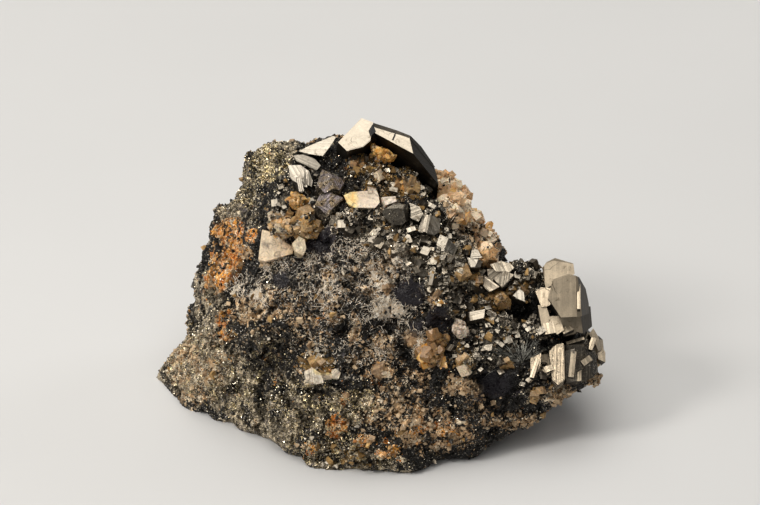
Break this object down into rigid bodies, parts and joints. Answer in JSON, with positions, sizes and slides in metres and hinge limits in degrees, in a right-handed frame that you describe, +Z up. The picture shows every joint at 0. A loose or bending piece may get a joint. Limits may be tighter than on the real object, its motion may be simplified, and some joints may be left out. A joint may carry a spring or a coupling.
{
  "type": "tennantite mineral specimen",
  "caption": "Free-standing broken lump of ore with flat-faced metallic crystals, a druse and tan carbonates on its leaning front; rests on a flat base.",
  "frame": {"origin": "a point on the flat natural base, under the middle of the lump", "axes": "+Z up from the base, +X to the right along the lump's longest side, -Y towards the crystal-bearing front, which leans back about 30 degrees"},
  "size_m": [0.0745, 0.0468, 0.049],
  "materials": {
    "ore": "rough granular ore: charcoal and grey-brown with brassy grains, rust and tan lace",
    "tennantite": "grey-black crystal faces with a bright metallic lustre and a faint warm tarnish",
    "tarnish": "violet-tarnished metallic crystal faces",
    "carbonate": "satin peach-tan carbonate",
    "honey": "waxy honey-orange carbonate, lightly see-through at thin edges",
    "pale_gangue": "glossy pinkish-white to beige crystal faces"
  },
  "bodies": {
    "root": {"matrix": "ore", "crown_crystal": "tennantite", "white_plate": "tennantite", "grey_plate": "tennantite", "striated_plates": "tennantite", "tarnished_crystals": "tarnish", "pale_plate_left": "pale_gangue", "pale_plate_right": "pale_gangue", "dark_rhomb_crystal": "tennantite", "striated_prisms": "tennantite", "slope_crystal": "tennantite", "step_crystal": "tennantite", "twinned_crystal": "tennantite", "peach_crystal": "carbonate", "rhomb_crystal": "tennantite", "wedge_plate": "tennantite", "honey_crystal": "honey", "right_cluster": "tennantite", "lower_blades": "tennantite", "corner_crystal": "tennantite", "edge_crystals": "tennantite", "ridge_carbonates": "carbonate", "crown_carbonates": "honey", "carbonate_plate": "carbonate", "honey_carbonates": "honey", "pale_block_crystal": "pale_gangue", "orange_crystal": "honey", "foot_crystals": "pale_gangue", "amber_crystals": "honey", "beige_quartz": "pale_gangue"}
  },
  "joints": []
}
